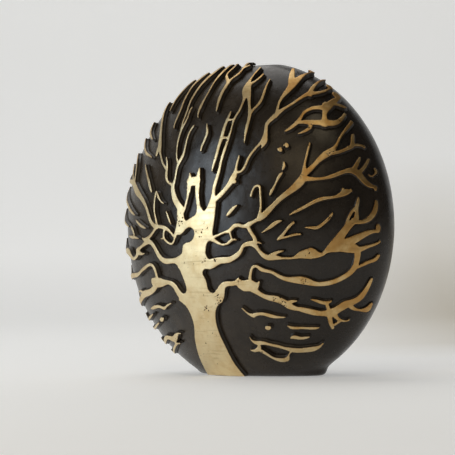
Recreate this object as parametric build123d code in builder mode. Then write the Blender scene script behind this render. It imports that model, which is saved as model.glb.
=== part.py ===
"""Moon vase with a tree of life: a hollow lens of dark clay, flat at foot and mouth,
with the tree laid on its front as separate raised pieces.

Frame: origin at the middle of the foot, +Z up, the tree faces -Y, and seen from the
front +X is to the right. All sizes are in millimetres.
"""

import os
from math import hypot, sqrt

from build123d import *

# Driving dimensions
BODY_RADIUS = 130.0  # half the width of the lens, which is round from the front
BODY_HALF_DEPTH = 57.6  # from the seam to the front or the back of the lens
CENTRE_Z = 118.8  # the lens's centre above the foot
MOUTH_Z = 245.0  # the flat cut at the top
WALL = 6.0  # thickness of the moulded halves
FOOT_THICKNESS = 7.0
FOOT_HALF_WIDTH = 64.0  # the foot spreads past the body's form, except in front
FOOT_HALF_DEPTH = 24.5
FOOT_SETBACK = 3.5
FOOT_ROUNDING = 2.0
RIM_DEPTH = 7.0  # height of the collar around the mouth
MOUTH_HALF_WIDTH = 24.0
MOUTH_HALF_DEPTH = 8.0
LIP_ROUNDING = 1.5
TWIG_RISE = 2.6  # how far a twig that crosses the rim stands above it
COIL_RADIUS = 4.0  # the coil pressed over the seam inside
COIL_CLEARANCE = 12.0  # from the coil's ends up to the collar, so it stays out of the mouth
RELIEF = 3.6  # how far the tree stands out of the body

# Worked out from them
RIM_BOTTOM = MOUTH_Z - RIM_DEPTH
FACE_RADIUS = BODY_RADIUS + RELIEF  # the lens that the tree's polished face lies on
FACE_HALF_DEPTH = BODY_HALF_DEPTH + RELIEF
SPAN = 4 * BODY_RADIUS  # longer than anything that is cut with it

# The sides of the tree's pieces lean towards one point behind the body, which keeps
# them nearly square to its round front. The outlines are drawn on an upright plane
# that touches the tree's face.
APEX_Y = 97.0
DRAWING = Plane.XZ.offset(FACE_HALF_DEPTH)

# The trunk's outline, counter-clockwise from the foot's right corner, as runs of
# (x, z) points seen from the front. Each run is a smooth edge, and the straight step
# from one run to the next is a joint with a limb.
TRUNK_EDGE = [
    # right side of the bole, up to the lower arm
    [(9.5, -1), (7, 7), (5.2, 14), (3.3, 25), (1, 36), (1, 46), (3.5, 53.5), (11, 59)],
    # notch between the lower and the middle arm
    [(6.5, 69), (5, 67), (2.5, 66.4), (0, 67.5), (-1.7, 70.5), (-2, 75),
     (-4, 79.5), (-4.8, 82), (-3.4, 84.3), (-1, 84.8), (3, 84.5)],
    # hollow between the middle arm and the upper arm
    [(4.5, 92.5), (2, 93.4), (0.5, 96), (1, 102), (2.6, 105.4), (5.5, 106.6), (8.5, 105.6)],
    # shoulder
    [(9, 110), (8.4, 112.5), (9.5, 118), (11, 126), (12.3, 136)],
    # fork between the right crown limb and the twin prongs
    [(4.2, 136), (2.5, 132.5), (0, 130.3), (-2.3, 131.8), (-3, 133.5)],
    # floor of the gap between the twin prongs
    [(-8, 133.5), (-8.2, 129.5), (-10, 127), (-15, 125.2), (-20, 123.4), (-21.9, 126),
     (-22, 129.5), (-20.8, 132.4)],
    # fork between the twin prongs and the left crown limb
    [(-22.2, 134.1), (-23.7, 134.1)],
    # left shoulder
    [(-30, 133), (-30, 127), (-31, 120), (-33, 115), (-34.6, 112)],
    # long hollow between the left upper and the left middle arm
    [(-33.3, 109.3), (-31.2, 111.6), (-26, 112.5), (-22, 115), (-18, 117.3), (-14.3, 117.3),
     (-11.3, 115), (-11, 112), (-13, 108.6), (-16, 106.6), (-20, 106), (-23.6, 104.4),
     (-25, 101.5), (-25.6, 98.8), (-28, 96.6), (-31, 95.7)],
    # notch between the left middle and the left lower arm
    [(-32, 87), (-30, 84.5), (-28, 80), (-26.4, 76), (-25.2, 72.5), (-25.1, 69.5),
     (-26.6, 67), (-29, 66.2), (-32, 67.5)],
    # left side of the bole, down to the foot
    [(-36.5, 61), (-33, 59), (-29, 56), (-26.4, 52), (-25, 47), (-24.7, 42), (-25.6, 37),
     (-28, 30), (-29.8, 22), (-31.4, 9), (-35, -1)],
]

# Every other piece of the tree. A piece is a set of twigs, and a twig is a smooth line
# through (x, z, width) stations, seen from the front. A piece that is joined to others
# names them first, and its ends are cut to fit against them.
LIMBS = {
    # crown, right of the trunk's axis
    "crown_limb_right": (["trunk"], [
        [(8.3, 133, 8.6), (8.6, 138, 6), (9, 142, 3.9), (9.6, 148, 3.6), (11.5, 154.5, 3.5),
         (13.4, 161, 3), (14.5, 168, 2.8), (16, 174, 3), (17.6, 180, 2.8), (19, 186, 2.4),
         (20.1, 191, 1.9), (20.5, 197, 1.9), (21.7, 202, 2.1), (24, 206.6, 2.1),
         (25.2, 211.5, 2.2), (25.6, 216.5, 3.2), (25.2, 220.5, 6.4), (24.5, 225, 7.4),
         (24.1, 229.5, 4), (24.5, 233.5, 2), (25.4, 237.5, 1.8), (26.2, 241.5, 1.5)],
        [(25.5, 227.5, 3.4), (28.6, 229.7, 2), (31.4, 232.5, 2), (32.8, 235.6, 1.5)],
    ]),
    "crown_twin_prongs": (["trunk"], [
        [(-22.3, 131, 2.6), (-19.6, 137, 2.4), (-18.1, 142, 2.6), (-17.3, 147, 4.4),
         (-16.8, 152, 5), (-16.6, 156, 3.8), (-17.1, 160.2, 1.5)],
        [(-17, 153.7, 6), (-12.5, 153.6, 7.4), (-8, 153.8, 6.6)],
        [(-5.5, 130, 5), (-6.6, 137, 4.1), (-7.6, 143, 4.4), (-7.8, 149, 5), (-7.6, 155, 4.8),
         (-7.4, 160, 3.4), (-6.9, 163.6, 1.5)],
    ]),
    "crown_limb_left": (["trunk"], [
        [(-25.5, 131, 8.6), (-27, 133.6, 7), (-30, 137, 6), (-33.2, 141, 5.9), (-35.2, 146, 5),
         (-36.2, 150.5, 4.4), (-34.9, 154, 3), (-33.7, 159, 2.3), (-32.9, 164.5, 2.4),
         (-31.4, 169, 3), (-28.4, 172.7, 3), (-26.4, 177, 2.5), (-25.8, 183, 2),
         (-25, 189, 1.9), (-23.1, 194.3, 1.9), (-20.2, 198.2, 1.5)],
        [(-31, 169, 3), (-33.9, 172.3, 2.2), (-35.3, 177.5, 1.7), (-36.1, 183.5, 1.7),
         (-35.6, 190, 2), (-34.3, 196, 2.3), (-32, 200.5, 2), (-30.3, 205, 2),
         (-29.8, 210, 2), (-28.2, 213.5, 1.3)],
        [(-34.8, 193.5, 2), (-34.8, 199, 1.7), (-34.1, 205, 1.8), (-33.1, 211, 2),
         (-33.2, 217, 2), (-31.8, 223.5, 2.4), (-29.5, 229.5, 2.8), (-26.4, 235.6, 3),
         (-22, 241.6, 3), (-18, 246.6, 2.4)],
    ]),
    "crown_loop": (["crown_limb_right"], [
        [(6.5, 160.8, 1.4), (7.4, 166, 2.6), (9, 172, 3), (10.4, 179, 3), (12, 186, 3.5),
         (12.7, 191, 3.2), (13.7, 197, 3), (15, 202, 2.6), (16.1, 206.6, 1.2)],
        [(12.5, 186, 1.8), (16, 186.2, 1.6), (19, 186, 1.8)],
        [(14.5, 200.3, 1.6), (18, 200, 1.4), (21.2, 200.6, 1.6)],
    ]),
    "crown_fork_right": (["crown_limb_right"], [
        [(34.4, 180.8, 0.8), (34.2, 185, 1.8), (34.3, 192, 2.8), (34.7, 199, 3),
         (34, 205, 3), (32.3, 210, 2.2), (30.4, 215, 2.8), (28, 220.5, 4), (26, 225, 4)],
        [(34.6, 202.5, 2.8), (37, 207.2, 2.2), (39.8, 210.5, 2.4), (41.3, 214.5, 2.6),
         (41.5, 219, 2.4), (41.1, 225, 1.9), (41.4, 230.6, 1.2)],
    ]),
    "crown_peak_twig": ([], [
        [(1.2, 208.4, 1.2), (0.8, 213, 2.4), (0.7, 218, 3), (1.2, 223, 3.2), (2.5, 228, 3.4),
         (3.6, 232, 3), (6, 235, 2), (9, 237.4, 2), (10.4, 240.5, 2), (10.1, 244, 2.2),
         (10.6, 248, 2.6)],
        [(10.2, 242.6, 1.8), (13.6, 244.8, 1.6)],
        [(3.2, 230.5, 3), (0.4, 234.3, 2.6), (-2.5, 237.5, 2.3), (-2.1, 241.7, 2.1),
         (-1.4, 247, 1.8)],
    ]),
    "crown_twig_middle": ([], [
        [(-7.7, 177.6, 1.6), (-6.3, 183, 2.3), (-4.4, 188, 2.5), (-3.8, 191.6, 2.6),
         (-4.8, 195, 2.2), (-5.8, 198.2, 1.2)],
    ]),
    "crown_twig_left": ([], [
        [(-17.3, 204.4, 0.9), (-18.6, 209, 2), (-17.7, 214, 2.9), (-16.2, 219.5, 2),
         (-14.4, 225, 1.7), (-13.4, 230.5, 1.8), (-12, 236.5, 2.4), (-10, 242, 2.8),
         (-8.4, 247, 2.4)],
    ]),
    "crown_twig_far_left": ([], [
        [(-44.6, 198, 1.2), (-45, 202, 1.8), (-43.7, 208, 2), (-42.4, 214, 2.2),
         (-42.2, 221, 2.2), (-41.2, 228, 2.2), (-39.4, 234.5, 2.6), (-35.6, 239.4, 2.6),
         (-31, 243, 1.6)],
    ]),
    "crown_twig_left_edge": ([], [
        [(-59.2, 214, 1.2), (-58.6, 219, 2), (-57.4, 224.5, 2.2), (-55, 229.5, 2.6),
         (-51, 234.4, 2.6), (-46, 238.4, 1.6)],
    ]),
    "crown_spray_left": (["crown_limb_left"], [
        [(-35, 151, 3), (-39.5, 153, 2.2), (-43.3, 155.4, 2.6), (-45.2, 159, 3.2),
         (-45.6, 164, 3), (-45.8, 168, 2.4), (-46.6, 172, 2), (-47.9, 174.6, 1.4)],
        [(-45.4, 164.5, 2.6), (-49, 167.4, 2.1), (-52, 170.6, 2), (-55, 175, 2.1),
         (-57.8, 179.8, 3), (-60, 184.5, 5), (-61.4, 190, 4), (-63.2, 196, 3.5),
         (-65.7, 203, 3), (-68.4, 209.5, 2.6), (-70.6, 215.5, 2.4), (-71, 221.4, 1.6)],
        [(-60.6, 185, 3.4), (-62, 180.5, 3.4), (-62.5, 177.6, 2.6)],
    ]),

    # right shoulder
    "shoulder_limb_right": (["trunk", "crown_limb_right"], [
        [(7, 135.5, 6), (10.5, 138.4, 4.6), (14, 140.4, 4.2), (18, 143.4, 4), (22, 147.2, 4),
         (25.2, 151, 5), (27.6, 154.5, 5.6), (29.2, 158.5, 3.8), (29.6, 162.5, 2.5),
         (30.3, 167, 2.2), (31.2, 171, 1.4)],
        [(23, 149.4, 2.6), (26, 151, 3), (29.4, 151.2, 2.8)],
        [(28, 156.6, 3.4), (31, 158.4, 2.4), (33.6, 158.8, 2), (36.3, 160.8, 2.4),
         (38.4, 165.5, 2.3), (41, 171, 2.3), (44.5, 175.5, 2.1), (48, 179.3, 2.3)],
    ]),
    "shoulder_branch_right": (["shoulder_limb_right"], [
        [(47.4, 178.6, 2.2), (49.8, 181, 3.4), (51.6, 184.5, 4.4), (51.6, 189, 3.1),
         (51.4, 194.4, 3.2), (54, 198.2, 3.6), (57.2, 201.4, 4), (60.6, 204.6, 3),
         (64.5, 207.6, 2.2), (68.5, 210.8, 2.3), (72, 214.3, 2.8), (76, 217.2, 3.6),
         (80, 217.6, 2.6), (82.8, 218.8, 2.5), (84.2, 221.2, 1.4)],
        [(51.6, 184.5, 4), (51.9, 180.5, 4.6), (51, 177.7, 2.4), (50.2, 176, 1)],
        [(57, 200.5, 3), (57, 206, 2.3), (56.8, 211, 2.2), (58, 216, 3), (60, 221, 5),
         (61.2, 226, 6.4), (62.4, 231, 4.6), (63.7, 236.2, 2.2)],
        [(60.5, 224, 4), (57.7, 230, 4), (54.8, 235, 3), (52, 239.2, 1.4)],
        [(76, 217, 3.5), (75.5, 222, 2.8), (75.2, 227, 1.8), (75.2, 230.4, 1)],
    ]),
    "shoulder_leaf": ([], [
        [(22.3, 125.5, 1.6), (25, 128, 2.9), (28.5, 131, 2.6), (31.6, 132.9, 1.2)],
    ]),
    "shoulder_chips": ([], [
        [(63.9, 174.4, 1.4), (65.4, 174.4, 3.4), (66.4, 173.4, 2.6)],
        [(68, 177.2, 1), (69.9, 177.6, 3), (70.6, 176.6, 3.2)],
    ]),
    "shoulder_twig_upper": ([], [[(69.8, 164.3, 1.2), (70.2, 161.5, 2.4), (69.3, 158.7, 1.4)]]),
    "shoulder_twig_lower": ([], [
        [(69.5, 156.4, 1), (67, 153.5, 2.6), (65, 149.3, 1.6), (63.3, 145.6, 2),
         (61.4, 142.2, 2.4), (60.2, 139.8, 1.2)],
    ]),
    "crown_ring_right": ([], [
        [(67.3, 188.3, 1.4), (71, 190.6, 2.6), (74.3, 193.8, 3.2), (76.2, 197.5, 2.8),
         (77.4, 201.3, 2.6), (80.6, 204.4, 2.8), (85, 205.6, 3), (89.4, 205.6, 4.6),
         (91.8, 208.2, 5.4), (92.2, 211.4, 4), (92.4, 213.6, 2)],
        [(93, 208.6, 1.6), (97, 207.1, 1.4), (99.8, 205.4, 1)],
        [(91, 206.4, 6), (91.4, 202.6, 4), (92, 198.6, 3), (92.8, 195.6, 4), (93.4, 193, 6)],
        [(74.4, 194.2, 2.6), (78, 194.6, 2.6), (83, 194.3, 3.4), (89, 193.8, 4),
         (95, 193.3, 4.6), (99, 193, 4.4), (101.4, 194.6, 3.4), (102.2, 197.2, 2.2),
         (102.4, 199.6, 1.4)],
        [(83.6, 193.8, 3), (85, 190.6, 3), (82.6, 187.9, 2.4), (79.6, 186.3, 1.6),
         (77.4, 185.6, 0.8)],
    ]),

    # right upper arm: the eye and the long upper limb
    "upper_arm_right": (["trunk"], [
        [(7, 108.8, 2.8), (11, 110, 2.2), (15, 111.3, 1.8), (20, 112.8, 2), (24, 113.6, 3),
         (27, 115.8, 3.2), (30.5, 117.7, 3.2), (34, 117.6, 3), (38, 116.7, 3), (42, 118, 4),
         (46, 119.7, 2.8), (49.5, 121.3, 3), (52.5, 123, 4.6)],
        [(7, 107.6, 3.4), (11, 106, 3), (14, 104.4, 2.2), (18, 103.4, 1.8), (22, 104.1, 2),
         (25.3, 106, 2.4), (28, 107, 1.8), (30.7, 106.5, 1)],
        [(25, 113.2, 2.8), (25.6, 110, 1.8), (26.9, 106.8, 2)],
        [(41.2, 117.6, 3.6), (43, 113.6, 3.2), (45, 110.5, 3), (46.9, 107.6, 3.4),
         (47, 104, 4)],
        [(47, 104.4, 2.4), (50, 104.1, 1.6), (52.6, 103.2, 0.8)],
        [(44.4, 139.8, 1.9), (45.6, 144.2, 1.8), (48.3, 147.1, 1.8), (50.8, 147, 2.2),
         (52.1, 142.5, 1.9), (52.7, 136.5, 1.9), (52.9, 131.5, 1.9), (52.2, 127, 2.2),
         (51, 122.5, 3)],
    ]),
    "upper_limb_right": (["upper_arm_right"], [
        [(51.5, 122.3, 4.4), (55.5, 124.8, 4.8), (59, 127.8, 4.5), (64, 132.5, 3.8),
         (69, 137, 4), (75, 141.3, 4.6), (80.5, 145.6, 6), (84.4, 150.2, 6.4),
         (86, 155, 4.8), (85.6, 160, 2.5), (86, 165.5, 1.8), (86.6, 172, 1.8),
         (87.1, 178, 1.4)],
        [(86, 154.6, 4.4), (90, 158.2, 4), (93.5, 162.5, 3.6), (97.5, 167.3, 5),
         (101.5, 170.8, 5.2), (104.3, 175, 2.4), (105.4, 181, 1.6), (106.8, 187, 1.8),
         (107.6, 193.5, 1.6)],
        [(102, 170, 4), (107.5, 170.7, 2.4), (111.3, 173, 2.5), (113.3, 175.3, 2.4),
         (112.6, 179.4, 1.8), (111.5, 184, 1.3)],
        [(112, 174, 2.2), (116, 176, 1.8), (118.8, 174.8, 1.2)],
    ]),
    "upper_spray_right": (["upper_limb_right"], [
        [(84.5, 151.3, 5), (91, 150.6, 3.2), (98, 150.6, 2.1), (105, 152.2, 3),
         (111, 155, 3), (116.5, 156.3, 4.2), (120.5, 153.3, 3.6), (123.3, 149, 3),
         (125.8, 145.8, 2.8), (128.8, 143.8, 2)],
        [(117, 156.5, 3), (118.4, 161.5, 2.2), (119, 166.3, 1)],
        [(119.6, 154.2, 3), (122.4, 159.3, 1.8), (122.9, 165.3, 1)],
    ]),
    "upper_edge_twig_right": ([], [
        [(126.4, 158.4, 0.5), (127.4, 155.8, 0.7), (127.2, 153.2, 0.8), (125.9, 152.4, 0.9),
         (125, 153.6, 0.6)],
    ]),
    "upper_twig_long_right": ([], [
        [(76.3, 124.3, 1), (80, 126.2, 2), (86, 129, 2.4), (92, 132.3, 2.6), (98, 135, 2.8),
         (104, 136, 2.2), (109, 136.9, 2.4), (112.8, 139, 4.4), (116.9, 140.8, 2.2)],
        [(112.6, 139, 3), (112.6, 142.6, 1.5)],
    ]),
    "middle_twig_near": ([], [
        [(53.3, 111.5, 0.9), (58, 114, 2), (62, 116.6, 3), (66, 119, 2.8), (69.9, 119.9, 0.9)],
    ]),
    "middle_twig_forked": ([], [
        [(65.9, 105.8, 1.4), (69.6, 108.6, 2.4), (73, 112.5, 2), (76, 115.8, 2.2),
         (79.1, 118.3, 1.8)],
        [(68, 106.8, 1.8), (73, 107.6, 1.6), (78, 108.8, 1.8), (83.7, 109.3, 1.4)],
    ]),
    "middle_twig_bowed": ([], [
        [(87.5, 114.3, 0.9), (91.5, 114, 2), (96, 114, 2.4), (100, 116.6, 2.2),
         (103.5, 120, 2.2), (106.4, 124.2, 1.4)],
    ]),

    # right middle arm and its hand
    "middle_arm_right": (["trunk", "upper_arm_right"], [
        [(1, 88.5, 8), (8, 89.7, 7), (14, 91.2, 5.4), (20, 91.4, 5), (25, 92.3, 4.4),
         (29.5, 94.5, 4), (33, 96.8, 3.6), (34.9, 99.6, 3), (36.8, 102, 3),
         (40, 103.2, 3.6), (44, 103.5, 4.4), (47.4, 101.6, 4), (50, 98, 3),
         (52.6, 95, 3.6), (56, 92.9, 4.2), (60, 92.5, 4.6), (64, 92.3, 3.8), (68, 91.8, 2.2),
         (73, 91.6, 1.8), (78, 91.9, 2.2), (82, 93.5, 4.8), (87, 94.3, 7.2),
         (91, 94.9, 8.4), (94, 94.1, 6.2), (97, 93.7, 3.4), (99.6, 94.5, 2.4)],
        [(58.5, 93.3, 3), (63, 95.5, 2.6), (67, 96.7, 2), (69.9, 97.3, 0.9)],
    ]),
    "middle_hand_right": (["middle_arm_right"], [
        [(98.6, 94.1, 2), (102.3, 96.9, 4.4), (106, 99, 8), (110, 99.9, 9), (114, 99.2, 9),
         (118, 97.6, 7), (121, 97.2, 4.8), (124.8, 98.5, 2.6), (128.6, 100.2, 2),
         (130.8, 102, 1)],
        [(106, 99.5, 7), (109, 104, 6), (112, 108.5, 5), (115, 113, 4.6), (118, 116.8, 4.2),
         (120.3, 119.4, 3.4), (120.9, 123, 2.3), (120.8, 127, 2), (121.2, 131, 1.8),
         (121.6, 135.9, 0.9)],
        [(114.4, 112.6, 2), (115.3, 117.5, 1.6), (116.8, 122, 1.6), (119, 126.5, 1.6),
         (121, 129.4, 1.4)],
        [(119.4, 117.8, 4), (123.4, 117.4, 3), (126.6, 118.9, 3), (128.8, 122.4, 2.6),
         (130, 127, 2), (130.1, 133.5, 1)],
        [(112, 101.4, 7), (117, 103.3, 6), (121.5, 106.1, 4.8), (126, 109, 3.6),
         (130.4, 110.2, 2.6)],
        [(118.6, 98, 5), (119.7, 93.5, 3.5), (119, 89.5, 3), (117.8, 85.5, 3),
         (116, 82, 3)],
        [(116.8, 82.4, 1.4), (120.5, 84.6, 2), (124.5, 87, 2.4), (127.6, 89, 2),
         (129.4, 92.2, 1)],
    ]),
    "lower_arc_right": (["middle_hand_right"], [
        [(39.5, 73, 4), (40.4, 79, 2.6), (41.8, 82.8, 2.2), (43.6, 85.6, 2.2),
         (46.3, 86.2, 2.4), (49.5, 84.3, 3.2), (54, 82.6, 3), (59, 81.3, 2.6), (64, 78.4, 3),
         (70, 76, 3.6), (76, 75.2, 5), (82, 74.6, 6), (87, 73.2, 5.2), (92, 71.8, 3.6),
         (98, 72, 3.5), (104, 73.6, 3.3), (110, 76.7, 3.3), (113.6, 79.4, 3.2),
         (116.4, 82.8, 3)],
    ]),

    # right lower arm
    "lower_arm_right": (["trunk", "lower_arc_right"], [
        [(4, 58.5, 7), (8, 63, 9.4), (11.2, 67.4, 8), (13.8, 71.2, 5.6), (17, 73, 4.3),
         (21, 73.2, 3.9), (26, 73.6, 3.8), (30, 73.6, 6)],
        [(27, 74.6, 2.6), (29.6, 76.9, 1.8)],
        [(30.8, 72.5, 7), (34, 71.4, 8.6), (38.5, 71.6, 9.2), (43, 71, 8.8), (46, 72.6, 3.4),
         (47.4, 74.2, 1.4)],
        [(39.5, 69.6, 5.4), (43, 67.6, 5), (46, 65.5, 4), (50, 63.2, 3.8), (55, 61.8, 4.6),
         (60, 60.8, 5.2), (64, 59, 5.2), (67.6, 56.5, 5.8), (71.4, 54.3, 4.3),
         (76.4, 52.9, 3.2)],
        [(66.6, 57.6, 3), (71, 58.9, 2.6), (74.9, 59.3, 1.2)],
    ]),
    "lower_hand_right": (["lower_arm_right"], [
        [(74.6, 53.3, 3.2), (81, 51.6, 4.6), (86, 50.2, 4.6), (91, 49.3, 4.2), (95, 49.4, 5.6),
         (99, 51, 5), (103, 53.4, 4.6), (107, 55.8, 5), (111, 57.5, 4), (115, 60.3, 3),
         (118, 64, 2.2), (121, 69, 1.6), (123.7, 74.5, 0.9)],
        [(85.6, 60.2, 1), (90, 58.7, 2.6), (95, 57.4, 2.6), (98.7, 58.7, 1)],
        [(95.2, 57.6, 2.4), (95.5, 51.5, 2.4)],
        [(94.8, 50, 4), (94.3, 45.4, 3), (93.7, 41.4, 2.6), (93.6, 37.8, 1.8)],
        [(97.8, 50, 4), (98.2, 46.6, 3.2), (99.8, 43.8, 2.4), (103.8, 42.8, 1.2)],
        [(94, 39.6, 1.5), (97.3, 41.4, 1.4), (100.2, 43.8, 1.8)],
        [(108.3, 55.4, 3.4), (109.4, 52.2, 3), (111.6, 50.5, 2.2), (114.6, 51.2, 1.5),
         (116.6, 53.6, 0.9)],
    ]),
    "low_twig_winged": ([], [
        [(28.4, 54.3, 1), (31.5, 51.4, 1.6), (34.6, 49.3, 2.2), (37.2, 48.6, 3.2),
         (41, 49.5, 2.6), (46, 49.7, 2.6), (52, 48.2, 3), (58, 47.1, 2), (63.4, 47, 0.9)],
    ]),
    "low_dot": ([], [[(46, 38.8, 2.6), (47.4, 38.9, 3.4), (48.8, 39.1, 2.8)]]),
    "low_twig_thin": ([], [
        [(63.6, 40.4, 1), (66.5, 38.9, 2.4), (72, 38.7, 2), (78, 38.4, 2), (82.5, 38.2, 2),
         (85.3, 38.6, 0.9)],
    ]),
    "low_twig_short": ([], [
        [(63.4, 31.2, 1.6), (66, 31.6, 3), (70, 30.8, 2.4), (74, 31, 1.8), (76.6, 31.6, 0.9)],
    ]),
    "low_loop_right": ([], [
        [(29.3, 31.9, 0.9), (30.8, 28.7, 1.8), (34.2, 27.2, 3.2), (39, 27.2, 3),
         (45, 25.9, 2.2), (50, 24.8, 2.4), (56, 22.9, 2.6), (61, 21.5, 3.8), (66, 21, 3.6),
         (72, 21.4, 3.8), (77, 22.3, 3), (80.4, 23.8, 1.5), (83.3, 26.1, 0.8)],
        [(26.5, 21.7, 1), (30.5, 21.2, 2.4), (34, 22.8, 3.2), (35.4, 26, 2.6)],
        [(34, 21.9, 2.8), (40, 17.7, 2.6), (45, 14.4, 2.6), (50, 13.6, 3.3),
         (53.7, 14.4, 2.8), (56, 17.2, 1.2), (60, 20.6, 1.6)],
    ]),

    # left upper arm: the eye, the hooked twig and the long outer limb
    "upper_arm_left": (["trunk"], [
        [(-32.5, 110.8, 2.6), (-35, 112, 2.4), (-38, 114.4, 2.3), (-41.4, 116.7, 2.8),
         (-45.5, 118.3, 3.4), (-51, 119.4, 3), (-56, 119.7, 3.6)],
        [(-45.4, 117, 2.8), (-47, 113.6, 2.2), (-46.5, 110.2, 2.2), (-44, 107.8, 2),
         (-40.6, 106, 2), (-37, 105.6, 2), (-34.7, 107.3, 1.9), (-33.8, 110.8, 2)],
        [(-46.5, 110.4, 2), (-50.4, 109.7, 1)],
        [(-56, 119.6, 3), (-60.2, 116, 2.6), (-63.8, 113.4, 2.6), (-67.6, 111.3, 3),
         (-71.4, 109.8, 3.8), (-75, 110, 2.6), (-77.4, 111.4, 1)],
        [(-46.8, 137.8, 0.9), (-50.2, 139.4, 1.6), (-53.3, 142.2, 2), (-55.6, 145.6, 2.4),
         (-57.3, 147.4, 2.2), (-58.6, 144, 1.9), (-59.4, 138.5, 2), (-59.1, 133, 2),
         (-57.5, 127.5, 2), (-56, 123, 2.4), (-55.2, 119, 3)],
    ]),
    "upper_limb_left": (["upper_arm_left"], [
        [(-54, 119.6, 3.2), (-60.4, 121, 3.8), (-64, 124, 3.6), (-66.8, 128.3, 3.5),
         (-69.3, 133, 3.2), (-72.3, 137.3, 3.6), (-76.3, 141.3, 4), (-81, 144.8, 4.6),
         (-86.5, 148.3, 6), (-91.5, 152.3, 6.2), (-95.6, 155.8, 5.2), (-101.5, 158, 4.2),
         (-107.5, 159, 3.2), (-113.5, 160.6, 2.6), (-117.6, 164, 2.2), (-119.6, 169, 1.4)],
        [(-93.6, 154.5, 4), (-95.3, 160.5, 2.6), (-95.3, 166, 2.2), (-96.3, 172, 2),
         (-98.8, 177, 2), (-102.4, 181.4, 1.4)],
        [(-96.5, 157, 3), (-100.4, 162.4, 2), (-104, 167.8, 2.2), (-109.4, 173, 1.4)],
    ]),
    "upper_leaf_left": ([], [
        [(-43.2, 131.3, 1), (-41.4, 127.8, 1.9), (-39.4, 124, 2), (-37.5, 121, 1.1)],
    ]),
    "upper_twig_left": ([], [
        [(-64.3, 148.2, 2), (-66.8, 152, 3), (-69.6, 157, 2.8), (-73, 162.3, 2.4),
         (-76.3, 167.5, 2), (-77.9, 170.6, 1.2)],
    ]),
    "upper_twig_high_left": ([], [
        [(-69.5, 176, 1), (-73.5, 177.8, 2), (-78, 179.2, 2.4), (-82, 181.3, 2.4),
         (-86, 184.8, 2.2), (-89, 188.4, 2.2), (-91.4, 193, 1.4)],
    ]),
    "upper_edge_twig_left": ([], [
        [(-75.4, 191.6, 1.2), (-79, 194, 2.2), (-83, 197, 2.6), (-85.6, 201, 2.6),
         (-86, 206, 1.6)],
    ]),
    "middle_twig_high_left": ([], [
        [(-90, 130.3, 0.9), (-95, 132.2, 2.4), (-100, 135, 3), (-105, 138.2, 3),
         (-110, 141.5, 2.6), (-115, 145, 2.6), (-119.6, 149.4, 2.2), (-122.6, 154.6, 1.4)],
    ]),
    "middle_twig_left": ([], [
        [(-71.4, 118.9, 0.9), (-76.5, 120.2, 2.3), (-81.5, 122.3, 2.4), (-85.5, 124.6, 2),
         (-88.2, 126.2, 1)],
    ]),
    "middle_twig_forked_left": ([], [
        [(-83.8, 110.8, 1), (-88, 111.8, 2), (-92.5, 112.2, 2.6), (-98, 112.7, 2.4),
         (-101.8, 113.6, 1.2)],
        [(-91, 112.6, 2.4), (-92.7, 116.3, 2.2), (-95, 119.2, 2.4), (-97.7, 121.4, 1.2)],
    ]),
    "middle_edge_twig_left": ([], [
        [(-102.8, 121.3, 1.2), (-107, 122.6, 2), (-112.5, 124.4, 2.4), (-119, 127, 2.6),
         (-123.6, 131.4, 2), (-126, 137, 1.2)],
    ]),

    # left middle and lower arms
    "middle_arm_left": (["trunk", "upper_arm_left"], [
        [(-26, 91.2, 9), (-30, 91.2, 9), (-34, 92, 5.4), (-38.5, 92, 4.2), (-44, 91.8, 4.6),
         (-50, 93, 4.6), (-54.5, 96.2, 4.4), (-57.8, 100.3, 4), (-61, 104.3, 3.8),
         (-65, 107.2, 4), (-69.6, 108, 4.4), (-73, 107, 4), (-76.6, 105.4, 3),
         (-80.6, 103.9, 2.6), (-84, 102.6, 3.6), (-87, 100.4, 5.4)],
        [(-87, 100.2, 5), (-84, 99.3, 4), (-80.4, 98.6, 2.6), (-75.8, 98.5, 1)],
        [(-86.5, 100.2, 5), (-89, 97.3, 3.4), (-92.6, 95.4, 2.8), (-96.4, 95, 3),
         (-100, 96.4, 4), (-104.4, 99.6, 6), (-109.4, 101.2, 6), (-115, 101.4, 4.4), (-120.6, 102.4, 3.4),
         (-125.4, 106, 2.6), (-128, 112, 1.4)],
    ]),
    "lower_arm_left": (["trunk"], [
        [(-29, 61.6, 6.4), (-33, 64.4, 6.4), (-36, 68, 5.6), (-38.6, 71.6, 5),
         (-42, 73.9, 4.2), (-46, 75, 3.6), (-51, 75, 5), (-56, 75, 7.4), (-61, 75.2, 8.2),
         (-65.6, 75, 8)],
        [(-62.5, 73.6, 5), (-68, 69.9, 5), (-74, 67.6, 5), (-80, 66.6, 5.6),
         (-86, 65.6, 5.6), (-92, 63.2, 5), (-99, 60.3, 4.4), (-106, 57.5, 4),
         (-111.5, 57, 3.4), (-116.4, 61, 2.8), (-119.6, 67, 1.4)],
        [(-86, 66.2, 3), (-91.6, 68.2, 2), (-96, 67.4, 1.2)],
    ]),
    "lower_arc_left": (["lower_arm_left"], [
        [(-59.8, 76, 4), (-61, 81, 3), (-62.4, 85.4, 3), (-65, 88.6, 2.7),
         (-69.6, 89.5, 2.6), (-75.5, 87.7, 3), (-82, 85.4, 2.8), (-89, 82.4, 3),
         (-96, 81.4, 4), (-104, 81, 4.2), (-112, 79.6, 4), (-118.5, 79.6, 3.2), (-123.6, 83.4, 2.6),
         (-126.6, 89, 1.4)],
    ]),
    "low_twig_left": ([], [
        [(-46.8, 58.2, 0.9), (-51, 57.2, 1.6), (-54.6, 55.6, 1.9), (-58, 54.4, 2.7),
         (-63, 55.4, 2.5), (-69, 55.6, 3), (-75, 54.6, 2.8), (-79.2, 54, 1.2)],
    ]),
    "low_dot_left": ([], [[(-63.4, 45.9, 2), (-65.6, 45.2, 3.8), (-67.6, 44.6, 2.8)]]),
    "low_twig_outer_left": ([], [
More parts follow.
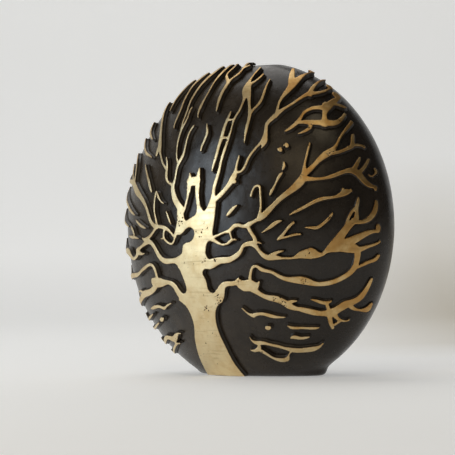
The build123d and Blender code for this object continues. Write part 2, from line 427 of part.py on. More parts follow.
        [(-78.8, 49.4, 1), (-84, 47.6, 2), (-90, 45.8, 2.4), (-96, 44.3, 2.2), (-101, 44.8, 2.2), (-106, 48.6, 1.4)],
    ]),
    "low_twig_thin_left": ([], [
        [(-71.8, 42.4, 1), (-77, 40.6, 2), (-83, 38.6, 2.2), (-89, 37, 2), (-94.6, 37.6, 1.4)],
    ]),
    "low_loop_left": ([], [
        [(-44.2, 34, 0.9), (-48.6, 33.6, 2.2), (-52.2, 31.4, 4.6), (-56, 29.4, 5),
         (-60.5, 29.6, 4.2), (-66, 30.4, 3.6), (-72, 28.8, 3.6), (-78, 26, 3.2),
         (-83.5, 24.8, 2.4), (-89, 28, 1.4)],
        [(-49.6, 25.8, 0.8), (-54.5, 25.5, 1.8), (-59.5, 23.3, 2.1), (-64.5, 20.8, 2.3),
         (-69.5, 18, 2.2), (-74.5, 16.4, 2), (-80, 18, 1.4)],
        [(-55.5, 28.5, 3), (-56.6, 25, 2.4)],
    ]),
}


def lens(radius, half_depth):
    """A solid lens: a ball squeezed from front to back, its seam line at the back."""
    with BuildPart() as solid:
        with Locations((0, 0, CENTRE_Z)):
            Sphere(radius, rotation=(0, 0, 90))
        scale(by=(1, half_depth / radius, 1))
    return solid.part


def band(bottom, top):
    """A block wider than the body, between two heights."""
    with BuildPart() as block:
        with Locations((0, 0, (bottom + top) / 2)):
            Box(SPAN, SPAN, top - bottom)
    return block.part


def front_band(bottom, top):
    """The half of such a block that lies in front of the seam."""
    with BuildPart() as block:
        add(band(bottom, top))
        split(bisect_by=Plane.XZ, keep=Keep.TOP)
    return block.part


def front_half():
    """The front moulded half of the hollow body, from the foot slab up to the collar."""
    with BuildPart() as half:
        add(lens(BODY_RADIUS, BODY_HALF_DEPTH))
        add(lens(BODY_RADIUS - WALL, BODY_HALF_DEPTH - WALL), mode=Mode.SUBTRACT)
        add(front_band(FOOT_THICKNESS, RIM_BOTTOM), mode=Mode.INTERSECT)
    return half.part


def foot_spread():
    """The oval that the foot spreads to where it stands, rounded along its lower edge."""
    with BuildPart() as spread:
        with BuildSketch():
            with Locations((0, FOOT_SETBACK)):
                Ellipse(FOOT_HALF_WIDTH, FOOT_HALF_DEPTH)
        extrude(amount=FOOT_THICKNESS)
        fillet(spread.edges().sort_by(Axis.Z)[0], FOOT_ROUNDING)
    return spread.part


def foot_slab():
    """The flat slab that closes the bottom, cut to the body's form and spread to stand."""
    with BuildPart() as foot:
        add(lens(BODY_RADIUS, BODY_HALF_DEPTH))
        add(band(0, FOOT_THICKNESS), mode=Mode.INTERSECT)
        add(foot_spread())
    return foot.part


def mouth_collar():
    """The flat-topped collar with the oval mouth through it."""
    with BuildPart() as collar:
        add(lens(BODY_RADIUS, BODY_HALF_DEPTH))
        add(band(RIM_BOTTOM, MOUTH_Z), mode=Mode.INTERSECT)
        with BuildSketch(Plane.XY.offset(MOUTH_Z)):
            Ellipse(MOUTH_HALF_WIDTH, MOUTH_HALF_DEPTH)
        extrude(amount=-RIM_DEPTH, mode=Mode.SUBTRACT)
        lip = collar.faces().sort_by(Axis.Z)[-1].inner_wires()[0].edges()
        fillet(lip, LIP_ROUNDING)
    return collar.part


def seam_coil():
    """The coil pressed over the seam inside, one length up each side of the body."""
    with BuildPart() as coil:
        with BuildSketch(Plane.XY.offset(CENTRE_Z)):
            with Locations((BODY_RADIUS - WALL, 0)):
                Circle(COIL_RADIUS)
        revolve(axis=Axis((0, 0, CENTRE_Z), (0, 1, 0)))
        add(lens(BODY_RADIUS - WALL, BODY_HALF_DEPTH - WALL), mode=Mode.INTERSECT)
        add(band(FOOT_THICKNESS, RIM_BOTTOM - COIL_CLEARANCE), mode=Mode.INTERSECT)
    return coil.part


def relief_layer():
    """The skin on the front of the body that every piece of the tree is cut from."""
    with BuildPart() as layer:
        add(lens(FACE_RADIUS, FACE_HALF_DEPTH))
        add(lens(BODY_RADIUS, BODY_HALF_DEPTH), mode=Mode.SUBTRACT)
        add(front_band(0, MOUTH_Z + TWIG_RISE), mode=Mode.INTERSECT)
    return layer.part


def drawn(x, z):
    """Carry a front-view point of the tree's face onto the drawing plane, along the
    line from the apex through that point of the face."""
    out = (x / FACE_RADIUS) ** 2 + ((z - CENTRE_Z) / FACE_RADIUS) ** 2
    depth = FACE_HALF_DEPTH * sqrt(max(0, 1 - out))
    grow = (APEX_Y + FACE_HALF_DEPTH) / (APEX_Y + depth)
    return x * grow, CENTRE_Z + (z - CENTRE_Z) * grow


def beyond(end, before):
    """The rounded end's outermost point, half a width past the last station."""
    x, z, width = end
    run_x = x - before[0]
    run_z = z - before[1]
    reach = width / 2 / hypot(run_x, run_z)
    return x + run_x * reach, z + run_z * reach


def twig(stations):
    """The outline of one twig: two smooth sides half a width off its middle line."""
    near_side = []
    far_side = []
    for place, (x, z, width) in enumerate(stations):
        before = stations[max(place - 1, 0)]
        after = stations[min(place + 1, len(stations) - 1)]
        run_x = after[0] - before[0]
        run_z = after[1] - before[1]
        reach = width / 2 / hypot(run_x, run_z)
        near_side.append(drawn(x - run_z * reach, z + run_x * reach))
        far_side.append(drawn(x + run_z * reach, z - run_x * reach))
    far_side.reverse()
    start = drawn(*beyond(stations[0], stations[1]))
    end = drawn(*beyond(stations[-1], stations[-2]))
    with BuildSketch() as outline:
        with BuildLine():
            Spline(*near_side)
            ThreePointArc(near_side[-1], end, far_side[0])
            Spline(*far_side)
            ThreePointArc(far_side[-1], start, near_side[0])
        make_face()
    return outline.sketch


def trunk_outline():
    """The trunk's outline, with a straight joint between each smooth run and the next."""
    runs = [[drawn(x, z) for x, z in run] for run in TRUNK_EDGE]
    with BuildSketch() as outline:
        with BuildLine():
            for place, run in enumerate(runs):
                Spline(*run)
                Line(run[-1], runs[(place + 1) % len(runs)][0])
        make_face()
    return outline.sketch


def limb_outline(twigs, neighbours):
    """The outline of a piece of the tree, cut to fit against its neighbours."""
    with BuildSketch() as outline:
        for stations in twigs:
            add(twig(stations))
        for neighbour in neighbours:
            add(neighbour, mode=Mode.SUBTRACT)
    if not neighbours:
        return outline.sketch
    # the limb itself is the largest face: its end inside the joint has been cut off it
    return Sketch([outline.faces().sort_by(SortBy.AREA)[-1]])


def cone(outline):
    """The solid between an outline on the drawing plane and the apex behind the body."""
    apex = Vertex(0, APEX_Y, CENTRE_Z)
    with BuildPart() as solid:
        for face in outline.faces():
            placed = DRAWING.from_local_coords(face)
            loft(sections=[Face(placed.outer_wire()), apex], ruled=True)
            for hole in placed.inner_wires():
                loft(sections=[Face(hole), apex], ruled=True, mode=Mode.SUBTRACT)
    return solid.part


def raised(outline, layer):
    """The piece of the tree's layer that lies inside an outline."""
    with BuildPart() as piece:
        add(layer)
        add(cone(outline), mode=Mode.INTERSECT)
    return piece.part


def write(part, name):
    """Label a finished piece and write its STEP file."""
    part.label = name
    export_step(part, f"parts/{name}.step")


os.makedirs("parts", exist_ok=True)

front = front_half()
write(front, "front_shell")
write(mirror(front, about=Plane.XZ), "back_shell")
write(foot_slab(), "foot_slab")
write(mouth_collar(), "mouth_collar")
write(seam_coil(), "seam_coil")

tree_layer = relief_layer()
outlines = {"trunk": trunk_outline()}
for limb, (joined_to, twigs) in LIMBS.items():
    outlines[limb] = limb_outline(twigs, [outlines[other] for other in joined_to])
for name, outline in outlines.items():
    write(raised(outline, tree_layer), name)
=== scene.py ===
"""Looks of the tree of life vase: dark burnished clay with a gilded tree in relief.

Everything is in metres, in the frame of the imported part: origin at the middle of the
foot, +Z up, the tree faces -Y.
"""

from math import cos, radians, sin, tau

import bmesh
import bpy
import numpy as np
from mathutils import Matrix, Vector, noise


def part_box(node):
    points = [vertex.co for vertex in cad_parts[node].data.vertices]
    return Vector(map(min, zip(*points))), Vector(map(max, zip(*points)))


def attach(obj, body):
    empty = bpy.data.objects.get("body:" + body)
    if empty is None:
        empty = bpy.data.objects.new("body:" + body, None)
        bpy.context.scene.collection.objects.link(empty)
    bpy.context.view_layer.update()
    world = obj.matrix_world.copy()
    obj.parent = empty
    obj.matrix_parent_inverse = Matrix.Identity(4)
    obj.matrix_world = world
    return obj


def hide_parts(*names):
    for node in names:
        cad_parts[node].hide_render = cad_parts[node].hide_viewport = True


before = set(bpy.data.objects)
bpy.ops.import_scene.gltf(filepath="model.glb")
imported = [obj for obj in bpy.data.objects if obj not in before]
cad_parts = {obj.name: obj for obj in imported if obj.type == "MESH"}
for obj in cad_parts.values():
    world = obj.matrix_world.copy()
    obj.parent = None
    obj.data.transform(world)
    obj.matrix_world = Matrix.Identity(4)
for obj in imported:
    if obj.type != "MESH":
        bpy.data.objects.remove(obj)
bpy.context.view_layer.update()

MM = 0.001
SAME_POINT = 0.001 * MM  # vertices closer than this are one vertex

# The body is a lens: a ball squeezed from front to back, about a centre above the middle
# of the foot. The tree's polished face lies on a slightly larger lens.
SHELL_LOW, SHELL_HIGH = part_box("front_shell")
CENTRE = Vector((0, 0, 118.8 * MM))
BODY_RADII = Vector((SHELL_HIGH.x, -SHELL_LOW.y, SHELL_HIGH.x))
RELIEF = 3.6 * MM
FACE_RADII = BODY_RADII + Vector((RELIEF, RELIEF, RELIEF))
BODY_NODES = ["front_shell", "back_shell", "foot_slab", "mouth_collar"]
# The trunk and what grows out of it: their joints are smoothed over, as with slip
JOINED_NODES = [
    "trunk", "crown_limb_right", "crown_twin_prongs", "crown_limb_left", "crown_loop",
    "crown_fork_right", "crown_spray_left", "shoulder_limb_right", "shoulder_branch_right",
    "upper_arm_right", "upper_limb_right", "upper_spray_right", "middle_arm_right",
    "middle_hand_right", "lower_arc_right", "lower_arm_right", "lower_hand_right",
    "upper_arm_left", "upper_limb_left", "middle_arm_left", "lower_arm_left",
    "lower_arc_left",
]
LOOSE_NODES = sorted(set(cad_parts) - set(BODY_NODES) - set(JOINED_NODES) - {"seam_coil"})

# How the tree's pieces are worked over
SEED_STEP = (7.3, 3.1, 5.7)  # each seed reads the noise this much further along
VOXEL = 0.36 * MM
ROUNDING = 0.5  # share of the way that each step smooths a point
ROUNDING_STEPS = 8
WAVE_HEIGHT = 0.20 * MM  # hand-rubbed unevenness of the polished faces
WAVE_LENGTH = 9 * MM
WALL_START = (0.4 * MM, 1.2 * MM)  # between these depths the face turns into a side
WALL_WAVE_HEIGHT = 0.22 * MM  # unevenness of the cut sides
WALL_WAVE_LENGTH = 4 * MM
FLARE_START = 1.2 * MM  # the sides spread into the ground below this depth
FLARE = 1.0 * MM
SINK = 0.3 * MM  # the underside is pressed this far into the body
SINK_DEPTHS = (0.75 * RELIEF, RELIEF)  # and the sinking starts and ends at these depths
WORN = 2.5 * MM  # the relief is worn down by this much at the seam between the halves
WORN_REACH = 38 * MM  # and keeps its full height this far in front of the seam
WORN_TOP = (150 * MM, 200 * MM)  # the wear fades out between these heights
WORN_DEPTHS = (0.3 * RELIEF, 0.9 * RELIEF)  # and between these depths below the face
PIT_LENGTH = 1.1 * MM  # spacing of the ragged hollows inside a pitted patch
PIT_DEPTH = 1.3 * MM
PIT_REACH = RELIEF / 3  # only points this close below the face are pitted
PIT_EDGE = (0.2, 0.5)  # the noise that starts a pit and the noise at its bottom
PIT_FADE = 0.5  # pits thin out towards the edge of their patch

# How the body is worked over
BODY_VOXEL = 1.0 * MM
BODY_WAVE_HEIGHT = 0.22 * MM  # the body was shaped and burnished by hand
BODY_WAVE_LENGTH = 26 * MM
FOOT_BLEND = 14 * MM  # the foot is smoothed into the body up to this height
FOOT_STEPS = 90

# Where the polished faces are pitted, seen from the front: (x, z, radius) in mm
PITTED = [
    (-27, 123, 7), (-4, 112, 6), (2, 119, 3), (-1.5, 91.5, 3), (9.5, 91.5, 3),
    (7, 61.5, 7), (-6, 54, 5), (29, 74.5, 3), (62, 59.5, 9), (83.5, 73, 4),
    (88, 95.5, 5), (85, 191.5, 4), (85, 153, 3), (102, 169.5, 4),
]


def depth_below_face(points):
    """How far points lie below the tree's polished face, in metres."""
    scaled = (points - np.array(CENTRE)) / np.array(FACE_RADII)
    reach = np.linalg.norm(scaled, axis=1)
    slope = np.linalg.norm(scaled / np.array(FACE_RADII), axis=1) / reach
    return (1 - reach) / slope


def outward(points):
    """The direction square to the lens at each point."""
    way = (points - np.array(CENTRE)) / np.array(FACE_RADII) ** 2
    return way / np.linalg.norm(way, axis=1)[:, None]


def read_vertices(mesh, what):
    """The places ("co") or the normals ("normal") of a mesh's vertices, as an array."""
    flat = np.zeros(len(mesh.vertices) * 3)
    mesh.vertices.foreach_get(what, flat)
    return flat.reshape(-1, 3)


def smooth_noise(points, wavelength, seed):
    """Soft noise from -1 to 1 at each point."""
    shift = Vector([seed * step for step in SEED_STEP])
    return np.array([noise.noise(Vector(p) / wavelength + shift) for p in points])


def step_up(values, low, high):
    """0 below low, 1 above high, and a smooth rise between."""
    t = np.clip((values - low) / (high - low), 0, 1)
    return t * t * (3 - 2 * t)


def joined_copy(nodes):
    """One new mesh with the shapes of some CAD nodes, their doubled vertices joined."""
    work = bmesh.new()
    for node in nodes:
        work.from_mesh(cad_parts[node].data)
    bmesh.ops.remove_doubles(work, verts=work.verts, dist=SAME_POINT)
    mesh = bpy.data.meshes.new(nodes[0])
    work.to_mesh(mesh)
    work.free()
    return mesh


def new_piece(name, mesh):
    """An object for a mesh, linked into the scene."""
    piece = bpy.data.objects.new(name, mesh)
    bpy.context.scene.collection.objects.link(piece)
    return piece


def settle(piece):
    """Put the result of a piece's modifiers into its mesh."""
    graph = bpy.context.evaluated_depsgraph_get()
    mesh = bpy.data.meshes.new_from_object(piece.evaluated_get(graph))
    piece.modifiers.clear()
    piece.data = mesh


def even_out(piece, voxel):
    """Give a piece an even mesh of voxels and round its edges."""
    remesh = piece.modifiers.new("even mesh", "REMESH")
    remesh.mode = "VOXEL"
    remesh.voxel_size = voxel
    remesh.use_smooth_shade = True
    rounding = piece.modifiers.new("rounding", "SMOOTH")
    rounding.factor = ROUNDING
    rounding.iterations = ROUNDING_STEPS
    settle(piece)


def blend_foot(piece):
    """Smooth the lowest part of the body, so that the foot runs into it."""
    points = read_vertices(piece.data, "co")
    low = piece.vertex_groups.new(name="foot")
    low.add(np.nonzero(points[:, 2] < FOOT_BLEND)[0].tolist(), 1.0, "REPLACE")
    blending = piece.modifiers.new("foot", "SMOOTH")
    blending.vertex_group = low.name
    blending.iterations = FOOT_STEPS
    settle(piece)


def pit_depth(points, depth):
    """How deep the pits, ragged hollows in the polished face, are at each point."""
    sunk = np.zeros(len(points))
    for x, z, radius in PITTED:
        apart = np.hypot(points[:, 0] - x * MM, points[:, 2] - z * MM) / (radius * MM)
        near = (apart < 1) & (depth < PIT_REACH)
        grain = smooth_noise(points[near], PIT_LENGTH, radius + x)
        sunk[near] += PIT_DEPTH * step_up(grain - PIT_FADE * apart[near] ** 2, *PIT_EDGE)
    return sunk


def worn_depth(points, depth):
    """How much of the relief is worn away at each point: most beside the seam."""
    to_seam = 1 - step_up(-points[:, 1], 0, WORN_REACH)
    to_seam *= 1 - step_up(points[:, 2], *WORN_TOP)
    return WORN * to_seam * (1 - step_up(depth, *WORN_DEPTHS))


def work_over(piece, seed):
    """Wave the faces and sides of a piece of the tree, spread its foot and pit its face."""
    mesh = piece.data
    points = read_vertices(mesh, "co")
    depth = depth_below_face(points)
    way = outward(points)
    normals = read_vertices(mesh, "normal")
    along = (normals * way).sum(axis=1)[:, None]
    sideways = normals - along * way

    pits = pit_depth(points, depth)
    wall = step_up(depth, *WALL_START)
    lift = (1 - wall) * WAVE_HEIGHT * smooth_noise(points, WAVE_LENGTH, seed)
    lift -= pits + SINK * step_up(depth, *SINK_DEPTHS)
    lift -= worn_depth(points, depth)
    spread = wall * WALL_WAVE_HEIGHT * smooth_noise(points, WALL_WAVE_LENGTH, seed + 1)
    spread += FLARE * step_up(depth, FLARE_START, RELIEF)
    points += way * lift[:, None] + sideways * spread[:, None]
    points[:, 2] = np.maximum(points[:, 2], 0)

    mesh.vertices.foreach_set("co", points.ravel())
    store = mesh.attributes.new("depth", "FLOAT", "POINT")
    store.data.foreach_set("value", depth + pits)
    mesh.update()


def tree_piece(nodes, seed, material):
    """A detailed piece of the tree in place of its plain CAD nodes."""
    piece = new_piece(nodes[0] + ".relief", joined_copy(nodes))
    even_out(piece, VOXEL)
    work_over(piece, seed)
    piece.data.materials.append(material)
    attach(piece, "root")
    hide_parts(*nodes)


def body_piece(material):
    """The body in one skin: its halves, foot and collar were smoothed over as wet clay."""
    piece = new_piece("front_shell.body", joined_copy(BODY_NODES))
    even_out(piece, BODY_VOXEL)
    blend_foot(piece)
    points = read_vertices(piece.data, "co")
    lift = BODY_WAVE_HEIGHT * smooth_noise(points, BODY_WAVE_LENGTH, 0)
    lift *= step_up(points[:, 2], 0, BODY_WAVE_LENGTH)
    points += outward(points) * lift[:, None]
    piece.data.vertices.foreach_set("co", points.ravel())
    piece.data.update()
    piece.data.materials.append(material)
    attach(piece, "root")
    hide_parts(*BODY_NODES)


# Materials

DARK_LOW = (0.016, 0.0115, 0.0074)
DARK_HIGH = (0.044, 0.0320, 0.0205)
RAW_LOW = (0.05, 0.038, 0.03)
RAW_HIGH = (0.12, 0.09, 0.07)
GOLD_BRIGHT = (0.79, 0.655, 0.40)
# tarnished and brown gold: the colours of both real tarnish and painted shade
GOLD_TARNISHED_AND_SHADED = (0.56, 0.355, 0.125)
GOLD_BROWN_AND_SHADED = (0.36, 0.165, 0.045)
GOLD_RIM = (0.30, 0.13, 0.045)
GOLD_SPOT = (0.10, 0.05, 0.02)
GOLD_LINE = (0.36, 0.25, 0.12)
BRUSHED_STRETCH = (0.06, 0.3, 1)  # the brushed lines run from side to side
# Places of the colour sockets in a Mix node, whose sockets share their names
MIX_FIRST, MIX_SECOND, MIX_RESULT = 6, 7, 2


class Graph:
    """Builds the node graph of one material."""

    def __init__(self, name):
        self.material = bpy.data.materials.new(name)
        self.material.use_nodes = True
        self.tree = self.material.node_tree
        self.shader = self.tree.nodes["Principled BSDF"]
        self.place = self.add("ShaderNodeTexCoord").outputs["Object"]

    def add(self, kind, **settings):
        """A new node with some of its settings."""
        node = self.tree.nodes.new(kind)
        for name, value in settings.items():
            setattr(node, name, value)
        return node

    def join(self, output, socket):
        """Link one node's output to a socket of another."""
        self.tree.links.new(output, socket)

    def finish(self, name, output):
        """Link a node's output to a socket of the shader."""
        self.join(output, self.shader.inputs[name])

    def position(self):
        """The x, y and z of the point that is shaded, in metres."""
        node = self.add("ShaderNodeSeparateXYZ")
        self.join(self.place, node.inputs["Vector"])
        return node.outputs["X"], node.outputs["Y"], node.outputs["Z"]

    def noise(self, scale, detail=4, roughness=0.55, stretch=None):
        """Noise at a scale per metre, stretched along an axis where stretch is below 1."""
        node = self.add("ShaderNodeTexNoise")
        node.inputs["Scale"].default_value = scale
        node.inputs["Detail"].default_value = detail
        node.inputs["Roughness"].default_value = roughness
        if stretch is None:
            self.join(self.place, node.inputs["Vector"])
        else:
            mapping = self.add("ShaderNodeMapping")
            mapping.inputs["Scale"].default_value = stretch
            self.join(self.place, mapping.inputs["Vector"])
            self.join(mapping.outputs["Vector"], node.inputs["Vector"])
        return node.outputs["Fac"]

    def remap(self, value, low, high, to_low=0.0, to_high=1.0):
        """A value spread from one range to another, clamped."""
        node = self.add("ShaderNodeMapRange")
        self.join(value, node.inputs["Value"])
        node.inputs["From Min"].default_value = low
        node.inputs["From Max"].default_value = high
        node.inputs["To Min"].default_value = to_low
        node.inputs["To Max"].default_value = to_high
        return node.outputs["Result"]

    def maths(self, operation, first, second):
        """A sum, difference or product of two outputs or plain numbers."""
        node = self.add("ShaderNodeMath", operation=operation)
        for socket, value in zip(node.inputs, (first, second)):
            if isinstance(value, (int, float)):
                socket.default_value = value
            else:
                self.join(value, socket)
        return node.outputs[0]

    def blend(self, share, first, second):
        """Two colours mixed by a share."""
        node = self.add("ShaderNodeMix", data_type="RGBA")
        self.join(share, node.inputs["Factor"])
        for place, value in ((MIX_FIRST, first), (MIX_SECOND, second)):
            if isinstance(value, tuple):
                node.inputs[place].default_value = (*value, 1)
            else:
                self.join(value, node.inputs[place])
        return node.outputs[MIX_RESULT]

    def bump(self, height, depth, strength=1.0, under=None):
        """Bumps of a depth in metres, on top of earlier ones."""
        node = self.add("ShaderNodeBump")
        node.inputs["Strength"].default_value = strength
        node.inputs["Distance"].default_value = depth
        self.join(height, node.inputs["Height"])
        if under is not None:
            self.join(under, node.inputs["Normal"])
        return node.outputs["Normal"]


def dark_clay():
    """Near-black burnished clay: mottled and satin, with painted light that makes it lighter
    towards the left.
    """
    graph = Graph("dark_clay")
    rightward, _, _ = graph.position()
    # painted light: the clay's colour is made lighter towards the left, the side of the window
    painted_light_from_left = graph.remap(rightward, -90 * MM, 90 * MM, 1.9, 0.35)
    mottling = graph.remap(graph.noise(45, detail=6, roughness=0.6), 0.3, 0.75)
    colour = graph.blend(graph.maths("MULTIPLY", mottling, painted_light_from_left), DARK_LOW, DARK_HIGH)
    graph.finish("Base Color", colour)
    sheen = graph.remap(graph.noise(110, roughness=0.6), 0.3, 0.7, 0.22, 0.34)
    graph.finish("Roughness", sheen)
    swell = graph.bump(graph.noise(55, detail=2), 0.5 * MM)
    grain = graph.bump(graph.noise(900, roughness=0.6), 0.06 * MM, 0.6, swell)
    graph.finish("Normal", grain)
    graph.shader.inputs["Specular IOR Level"].default_value = 0.33
    return graph.material


def raw_clay():
    """Unpolished clay inside the body."""
    graph = Graph("raw_clay")
    speckle = graph.remap(graph.noise(300, detail=6, roughness=0.7), 0.35, 0.7)
    graph.finish("Base Color", graph.blend(speckle, RAW_LOW, RAW_HIGH))
    graph.shader.inputs["Roughness"].default_value = 0.85
    grain = graph.bump(graph.noise(500, detail=6, roughness=0.7), 0.2 * MM)
    graph.finish("Normal", grain)
    return graph.material


def share_of_gold(graph, depth):
    """Where the tree is gold: on the polished face, save the blackened tips at the top left."""
    x, y, z = graph.position()
    polished = graph.remap(depth, 0.16 * MM, 0.36 * MM, 1, 0)
    near_seam = graph.remap(y, -24 * MM, -8 * MM)
    near_top = graph.remap(z, 170 * MM, 215 * MM, 0, 0.9)
    leftward = graph.remap(x, 50 * MM, 10 * MM)
    blackened = graph.maths("MULTIPLY", graph.maths("MULTIPLY", near_seam, near_top), leftward)
    return graph.maths("MULTIPLY", polished, graph.maths("SUBTRACT", 1, blackened))


def gold_colour(graph, depth, brushed):
    """Bright gold: tarnished and brown in patches, darker and browner towards the top, and with
    painted shade that makes it tarnished and brown towards the right.
    """
    x, _, z = graph.position()
    # painted shade: the gold is darkened and browned towards the right, the side away from the
    # window
    rightward = graph.remap(x, 0, 110 * MM, 0, 0.80)
    topward = graph.remap(z, 195 * MM, 245 * MM, 0, 0.6)
    patchy = graph.remap(graph.noise(75, detail=6, roughness=0.65), 0.36, 0.78, 0, 0.75)
    # real tarnish in patches, plus the painted shade to the right and the darkening towards the
    # top
    tarnish_and_painted_shade = graph.maths("ADD", patchy, graph.maths("ADD", rightward, topward))
    tarnish_and_shade_share = graph.remap(tarnish_and_painted_shade, 0.1, 1.1)
    browning_and_shade_share = graph.remap(tarnish_and_painted_shade, 0.85, 1.45, 0, 0.8)
    rim = graph.remap(depth, 0.05 * MM, 0.20 * MM, 0, 0.75)
    lines = graph.maths("MULTIPLY", graph.remap(brushed, 0.56, 0.72), 0.45)
    spots = graph.remap(graph.noise(330, detail=3, roughness=0.5), 0.69, 0.75)
    gold = graph.blend(tarnish_and_shade_share, GOLD_BRIGHT, GOLD_TARNISHED_AND_SHADED)
    stains = ((browning_and_shade_share, GOLD_BROWN_AND_SHADED), (rim, GOLD_RIM), (lines, GOLD_LINE), (spots, GOLD_SPOT))
    for share, stain in stains:
        gold = graph.blend(share, gold, stain)
    return gold


def gilded_clay():
    """The tree: rubbed gold on the polished face, dark clay down the sides and in pits."""
    graph = Graph("gilded_clay")
    stored = graph.add("ShaderNodeAttribute", attribute_name="depth")
    wear = graph.remap(graph.noise(420, roughness=0.6), 0.25, 0.75, -0.09 * MM, 0.09 * MM)
    depth = graph.maths("ADD", stored.outputs["Fac"], wear)
    brushed = graph.noise(520, detail=5, roughness=0.7, stretch=BRUSHED_STRETCH)

    gold_share = share_of_gold(graph, depth)
    mottling = graph.remap(graph.noise(60, detail=6, roughness=0.6), 0.3, 0.75)
    dark = graph.blend(mottling, DARK_LOW, DARK_HIGH)
    gold = gold_colour(graph, depth, brushed)
    graph.finish("Base Color", graph.blend(gold_share, dark, gold))
    graph.finish("Metallic", gold_share)

    graph.finish("Roughness", graph.remap(brushed, 0.3, 0.7, 0.36, 0.50))
    scored = graph.bump(brushed, 0.06 * MM, 0.8)
    dents = graph.bump(graph.noise(260, detail=3), 0.15 * MM, 0.7, scored)
    graph.finish("Normal", dents)
    return graph.material


def pale_paper():
    """The pale paper that the vase stands on. Besides the lamps it glows, painted light, more on
    the wall than on the floor, and it has a painted shadow low down behind and to the right of the
    vase.
    """
    graph = Graph("pale_paper")
    x, y, z = graph.position()
    low = graph.remap(z, 0.30, 0.0)
    rightward = graph.remap(x, 0.02, 0.32)
    behind = graph.remap(y, 0.10, 0.50)
    # painted shadow of the vase: darker, warmer paper low down, behind and to the right of it
    painted_shadow = graph.maths("MULTIPLY", graph.maths("MULTIPLY", low, rightward), behind)
    paper = graph.blend(graph.noise(3, detail=3), PAPER_LOW, PAPER_HIGH)
    graph.finish("Base Color", graph.blend(painted_shadow, paper, PAPER_PAINTED_SHADOW))
    graph.shader.inputs["Roughness"].default_value = 0.8
    graph.finish("Emission Color", graph.blend(painted_shadow, GLOW_COOL, GLOW_PAINTED_SHADOW))
    # painted light: the paper glows, less on the floor than on the wall
    graph.finish("Emission Strength", graph.remap(z, 0.0, 0.12, FLOOR_GLOW, WALL_GLOW))
    return graph.material


# Studio

CAMERA_TURN = radians(40)  # to the right of the tree's front
CAMERA_TILT = radians(-1.455)  # a little from below the body's centre
CAMERA_DISTANCE = 1.3952
CAMERA_ROLL = radians(1.28)
LENS = 138.07
SENSOR = 36.0
SHIFT = (-0.0606, -0.0040)
ROOM_LIGHT = 0.08
ROOM_COLOUR = (0.92, 0.96, 1.0)
# The paper's glow, painted light: less on the floor than on the wall
FLOOR_GLOW = 0.31
WALL_GLOW = 0.43
PAPER_LOW = (0.70, 0.70, 0.69)
PAPER_HIGH = (0.74, 0.74, 0.735)
# the paper's colour in the painted shadow to the right of the vase
PAPER_PAINTED_SHADOW = (0.42, 0.39, 0.335)
GLOW_COOL = (1.0, 1.0, 0.985)
# the glow's colour in that painted shadow
GLOW_PAINTED_SHADOW = (0.70, 0.65, 0.55)
# Soft boxes: name, place, width and height, power in watts, colour
SOFT_LIGHTS = [
    ("window", (-0.95, -1.15, 0.42), (0.50, 0.80), 6.7, (0.77, 0.89, 1.0)),
    ("ceiling", (-0.75, 0.2, 1.8), (1.4, 1.4), 12, (1.0, 0.98, 0.95)),
    ("room", (0.15, -1.5, 0.9), (0.9, 0.5), 2.2, (1.0, 0.78, 0.48)),
    ("lamp", (0.45, -0.85, 1.40), (0.5, 0.5), 1.7, (1.0, 0.84, 0.56)),
]
SHEET_HALF_WIDTH = 4.0
SHEET_FRONT = 5.0  # how far the floor reaches in front of the vase
SHEET_BACK = 2.2  # and the wall stands behind it
SHEET_BEND = 0.8  # radius of the curve between them
SHEET_BEND_STEPS = 12
SHEET_HEIGHT = 2.6


def camera():
    """The camera at the photograph's angle."""
    data = bpy.data.cameras.new("camera")
    data.lens = LENS
    data.sensor_width = SENSOR
    data.shift_x, data.shift_y = SHIFT
    data.clip_start = 0.01
    data.clip_end = 20
    eye = bpy.data.objects.new("camera", data)
    bpy.context.scene.collection.objects.link(eye)
    back = Vector((sin(CAMERA_TURN) * cos(CAMERA_TILT),
                   -cos(CAMERA_TURN) * cos(CAMERA_TILT), sin(CAMERA_TILT)))
    right = Vector((cos(CAMERA_TURN), sin(CAMERA_TURN), 0))
    turn = Matrix((right, back.cross(right), back)).transposed()
    roll = Matrix.Rotation(-CAMERA_ROLL, 3, "Z")
    eye.matrix_world = Matrix.Translation(CENTRE + back * CAMERA_DISTANCE) @ (turn @ roll).to_4x4()
    bpy.context.scene.camera = eye


def soft_light(name, where, size, power, colour):
    """A rectangular soft box that faces the vase."""
    data = bpy.data.lights.new(name, "AREA")
    data.shape = "RECTANGLE"
    data.size, data.size_y = size
    data.energy = power
    data.color = colour
    lamp = bpy.data.objects.new(name, data)
    bpy.context.scene.collection.objects.link(lamp)
    lamp.location = where
    lamp.rotation_euler = (CENTRE - Vector(where)).to_track_quat("-Z", "Y").to_euler()


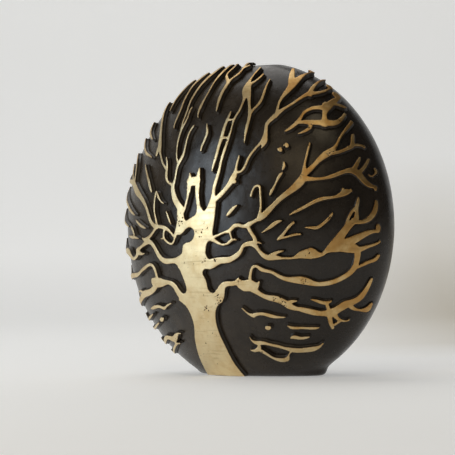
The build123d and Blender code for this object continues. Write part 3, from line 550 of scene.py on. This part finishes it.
def room_light():
    """Faint light from all round."""
    world = bpy.data.worlds.new("studio")
    world.use_nodes = True
    background = world.node_tree.nodes["Background"]
    background.inputs["Color"].default_value = (*ROOM_COLOUR, 1)
    background.inputs["Strength"].default_value = ROOM_LIGHT
    bpy.context.scene.world = world


def sheet_profile():
    """The backdrop seen from the side: floor, curve and wall, as (y, z) points."""
    line = [(-SHEET_FRONT, 0), (SHEET_BACK - SHEET_BEND, 0)]
    for step in range(1, SHEET_BEND_STEPS + 1):
        angle = step / SHEET_BEND_STEPS * tau / 4
        along = SHEET_BACK - SHEET_BEND + SHEET_BEND * sin(angle)
        line.append((along, SHEET_BEND - SHEET_BEND * cos(angle)))
    line.append((SHEET_BACK, SHEET_HEIGHT))
    return line


def backdrop():
    """Floor that curves up into a wall behind the vase, one pale sheet."""
    line = sheet_profile()
    work = bmesh.new()
    left, right = (
        [work.verts.new((side, y, z)) for y, z in line]
        for side in (-SHEET_HALF_WIDTH, SHEET_HALF_WIDTH)
    )
    for place in range(len(line) - 1):
        work.faces.new((left[place], left[place + 1], right[place + 1], right[place]))
    bmesh.ops.recalc_face_normals(work, faces=work.faces)
    mesh = bpy.data.meshes.new("backdrop")
    work.to_mesh(mesh)
    work.free()
    mesh.polygons.foreach_set("use_smooth", [True] * len(mesh.polygons))
    sheet = new_piece("backdrop", mesh)
    sheet.rotation_euler = (0, 0, CAMERA_TURN)
    mesh.materials.append(pale_paper())


def studio():
    """Backdrop, lights and camera."""
    backdrop()
    camera()
    room_light()
    bpy.context.scene.view_settings.view_transform = "Standard"
    for light in SOFT_LIGHTS:
        soft_light(*light)


def dress_coil(material):
    """The coil inside the body keeps its CAD shape and gets a material."""
    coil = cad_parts["seam_coil"]
    coil.data.materials.clear()
    coil.data.materials.append(material)


body_piece(dark_clay())
dress_coil(raw_clay())
gilded = gilded_clay()
tree_piece(JOINED_NODES, 0, gilded)
for place, node in enumerate(LOOSE_NODES):
    tree_piece([node], place + 1, gilded)
studio()
